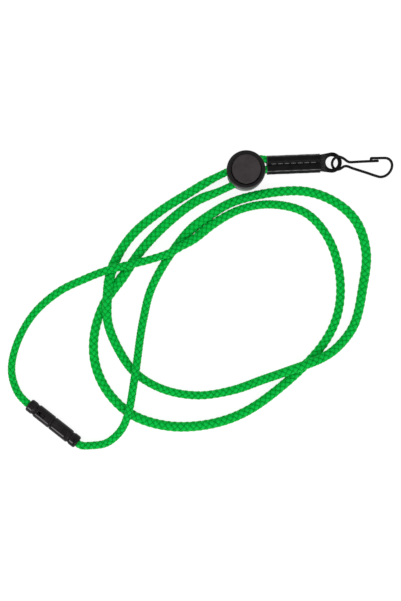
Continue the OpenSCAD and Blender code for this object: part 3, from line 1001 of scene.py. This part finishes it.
def make_hook_pieces():
    """Splits the one wire at the neck, so both pieces share the ring of points where they meet."""
    wire, gate = hook_line()
    whole = np.vstack([wire, gate[1:]])
    ring = circles_along(whole, WIRE_SIDES)
    size = np.full(len(whole), WIRE_R)
    size[-1] = WIRE_R - 0.1
    rings = whole[:, None] + size[:, None, None] * ring
    dome = np.radians((80, 50, 22))
    tip = whole[0] + unit_rows(whole[0] - whole[1]) * WIRE_R * np.sin(dome)[:, None]
    nose = tip[:, None] + (WIRE_R * np.cos(dome))[:, None, None] * ring[:1]
    cut = len(wire) - 1
    return loft("hook_bent_wire", np.vstack([nose, rings[:cut + 1]])), loft("hook_gate_arm", rings[cut:])


# -------------------------------- breakaway connector
CONNECTOR_CENTRE = (-78.9, -103.4, 2.85)
CONNECTOR_TURN = -38.4
CONNECTOR_R = 2.8
CONNECTOR_HALF = 12.8
SEAM = -0.5
SEAM_GAP = 0.12
CAP_LENGTH = 3.9
CAP_R = 2.7
CAP_WAIST_R = 2.42
CAP_WAIST_TOP = 0.5
CAP_BORE_R = 1.72
# A cap's neck goes into the bore in the end wall of its half.
NECK_BORE_R = 1.9
NECK_R = 1.88
NECK_LENGTH = 1.3
NECK_HOLE_R = 0.8
END_WALL = 1.4
# Sunk panels and the window in the socket, as (start, end, half width, height of the floor).
SOCKET_PANEL = (-8.1, -1.55, 1.0, CONNECTOR_R - 0.62)
SOCKET_WINDOW = (-7.6, -4.1, 0.8, 0.5)
PLUG_PANEL = (0.4, 6.75, 1.0, CONNECTOR_R - 0.72)
SOCKET_CAP_PANEL = (1.3, 3.1, 0.7, 1.95)
PLUG_CAP_PANEL = (0.5, 2.3, 0.7, 1.95)
WALL_SLOPE = 0.8
STEM_R = 1.5
STEM_LENGTH = 6.2
LATCH_R = 1.65
BORE_R = 1.7


def turned_along_x(name, profile, closed=True):
    """A solid turned about X from a line of (radius, place along X)."""
    obj = lathe(name, profile, closed=closed)
    obj.data.transform(Matrix.Rotation(math.pi / 2, 4, "Y"))
    return obj


def window(start, end, half_width, floor, slope=0.0, ceiling=4.0, corner=0.25):
    """A cutter with rounded corners, from a floor height up, over a stretch of the connector.

    Its side walls lean out by the slope for each unit of height, and its end walls by a third of that.
    """
    rings = []
    for height, grow in ((floor, 0.0), (math.copysign(ceiling, floor), slope * (ceiling - abs(floor)))):
        low, high, half = start - grow / 3, end + grow / 3, half_width + grow
        outline = rounded([(low, -half, corner), (high, -half, corner), (high, half, corner),
                           (low, half, corner)], closed=True)
        rings.append([(x, y, height) for x, y in outline])
    return loft("window", np.array(rings))


def both_faces(start, end, half_width, floor):
    """The same panel on the top and on the underside."""
    return [window(start, end, half_width, height, WALL_SLOPE) for height in (floor, -floor)]


def make_socket():
    """The socket half: a tube with a long window and a shallow panel round it."""
    left, right = -CONNECTOR_HALF + CAP_LENGTH, SEAM - SEAM_GAP / 2
    profile = rounded([
        (NECK_BORE_R, left, 0), (CONNECTOR_R, left, 0.65), (CONNECTOR_R, right, 0.4), (BORE_R, right, 0.1),
        (BORE_R, left + END_WALL, 0), (NECK_BORE_R, left + END_WALL, 0)], closed=True, steps=3)
    socket = turned_along_x("connector_socket", profile)
    combine(socket, both_faces(*SOCKET_PANEL) + [window(*SOCKET_WINDOW)], "DIFFERENCE")
    return soften(socket, 0.09)


def make_plug():
    """The plug half: a panelled grip and a stem with a latch bulb that goes into the socket."""
    left, right = SEAM + SEAM_GAP / 2, CONNECTOR_HALF - CAP_LENGTH
    tip = SEAM - STEM_LENGTH
    profile = rounded([
        (0, tip, 0), (STEM_R - 0.3, tip, 0), (LATCH_R, tip + 1.2, 0.2), (STEM_R, tip + 1.8, 0.2),
        (STEM_R, left, 0), (CONNECTOR_R, left, 0.4), (CONNECTOR_R, right, 0.65), (NECK_BORE_R, right, 0),
        (NECK_BORE_R, right - END_WALL, 0), (0, right - END_WALL, 0)], steps=3)
    plug = turned_along_x("connector_plug", profile, closed=False)
    combine(plug, both_faces(*PLUG_PANEL), "DIFFERENCE")
    return soften(plug, 0.09)


def make_end_cap(name, panel):
    """The cap at one end: a waist, a collar with a panel in each face, and a flared mouth for the cord."""
    profile = rounded([
        (NECK_HOLE_R, -NECK_LENGTH, 0), (NECK_R, -NECK_LENGTH, 0), (NECK_R, 0, 0), (CAP_WAIST_R, 0, 0.1),
        (CAP_WAIST_R, CAP_WAIST_TOP, 0.15), (CAP_R, CAP_WAIST_TOP + 0.6, 0.3), (CAP_R, CAP_LENGTH, 0.85),
        (CAP_BORE_R + 0.04, CAP_LENGTH, 0), (CAP_BORE_R, CAP_LENGTH - 0.2, 0),
        (CAP_BORE_R, CAP_WAIST_TOP, 0), (NECK_HOLE_R, CAP_WAIST_TOP, 0)], closed=True, steps=4)
    cap = turned_along_x(name, profile)
    combine(cap, both_faces(*panel), "DIFFERENCE")
    return soften(cap, 0.08)


def place_connector(obj, along=0.0, turn=0.0):
    """Puts a piece of the connector in its place; a turn of 180 faces it the other way."""
    obj.data.transform(Matrix.Translation((along, 0, 0)) @ Matrix.Rotation(math.radians(turn), 4, "Z"))
    return turn_about(obj, CONNECTOR_CENTRE, CONNECTOR_TURN)


# -------------------------------- the whole lanyard
# Level and square to the connector: its recess walls that face this way get a painted highlight.
CONNECTOR_HIGHLIGHT_SIDE = (-math.sin(math.radians(CONNECTOR_TURN)), math.cos(math.radians(CONNECTOR_TURN)), 0)
# The edges of the slider that turn this way are lighter: a painted highlight.
SLIDER_HIGHLIGHT_SIDE = (0.25, -0.97, 0)

bpy.context.scene.view_settings.view_transform = "Standard"
add_camera()
(cord_a, line_a), (cord_b, line_b) = add_cords()
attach(cord_b, "strap")
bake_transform(cord_a)

vinyl = vinyl_material()
dress(make_sleeve(), vinyl, ["cord_sleeve"], "strap", sharp=60)
dress(make_stitching(), thread_material(), ["sleeve_stitching"], "strap", sharp=180)
dress(make_eye(), eye_material(), ["eye_fitting"], "strap")

slider_plastic = plastic_material(
    "satin_slider_moulding", dark=(0.005, 0.004, 0.0045), light=(0.012, 0.01, 0.011),
    edge=(0.2, 0.195, 0.2), gloss=(0.22, 0.4), grain=2200, relief=0.00003, specular=0.16,
    highlight_and_wear=(0.505, 0.56), toward=SLIDER_HIGHLIGHT_SIDE)
dress(make_barrel(), slider_plastic, ["slider_barrel"], "slider")
button_plastic = plastic_material(
    "matt_button_moulding", dark=(0.028, 0.022, 0.024), light=(0.044, 0.036, 0.038),
    edge=(0.1, 0.09, 0.09), gloss=(0.5, 0.68), grain=2600, relief=0.00004, specular=0.15,
    highlight_and_wear=(0.53, 0.62), toward=SLIDER_HIGHLIGHT_SIDE)
dress(make_button(), button_plastic, ["slider_button"], "button")
spring = dress(make_spring(), steel_material(), ["slider_spring"], sharp=180)
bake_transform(spring)

# The enamel's outer edges are a little lighter, partly wear and partly a painted highlight.
hook_enamel = plastic_material(
    "black_enamelled_wire", dark=(0.001, 0.001, 0.0012), light=(0.003, 0.003, 0.0032),
    edge=(0.02, 0.02, 0.021), gloss=(0.3, 0.5), grain=3000, relief=0.00002, specular=0.1)
hook, gate = make_hook_pieces()
dress(hook, hook_enamel, ["hook_wire"], "hook", sharp=60)
dress(gate, hook_enamel, ["hook_gate"], sharp=60)
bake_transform(gate)

connector_plastic = plastic_material(
    "gloss_connector_moulding", dark=(0.004, 0.0035, 0.0038), light=(0.018, 0.015, 0.0165),
    edge=(0.22, 0.21, 0.22), gloss=(0.24, 0.42), grain=1800, relief=0.00004, specular=0.12,
    toward=CONNECTOR_HIGHLIGHT_SIDE, centre=tuple(np.array(CONNECTOR_CENTRE) * MM))
socket = place_connector(make_socket())
socket_cap = make_end_cap("socket_cap", SOCKET_CAP_PANEL)
place_connector(socket_cap, along=-CONNECTOR_HALF + CAP_LENGTH, turn=180)
plug = place_connector(make_plug())
plug_cap = make_end_cap("plug_cap", PLUG_CAP_PANEL)
place_connector(plug_cap, along=CONNECTOR_HALF - CAP_LENGTH)
for piece, node, body in ((socket, "breakaway_socket", "strap"), (socket_cap, "socket_end_cap", "strap"),
                          (plug, "breakaway_plug", "plug"), (plug_cap, "plug_end_cap", "plug")):
    dress(piece, connector_plastic, [node], body)

add_world(strength=0.7)
add_floor()
add_light("key", place=(0.12, -0.75, 0.62), size=0.55, power=4.0)
add_light("fill", place=(-0.35, 0.3, 0.7), size=0.6, power=1.2)
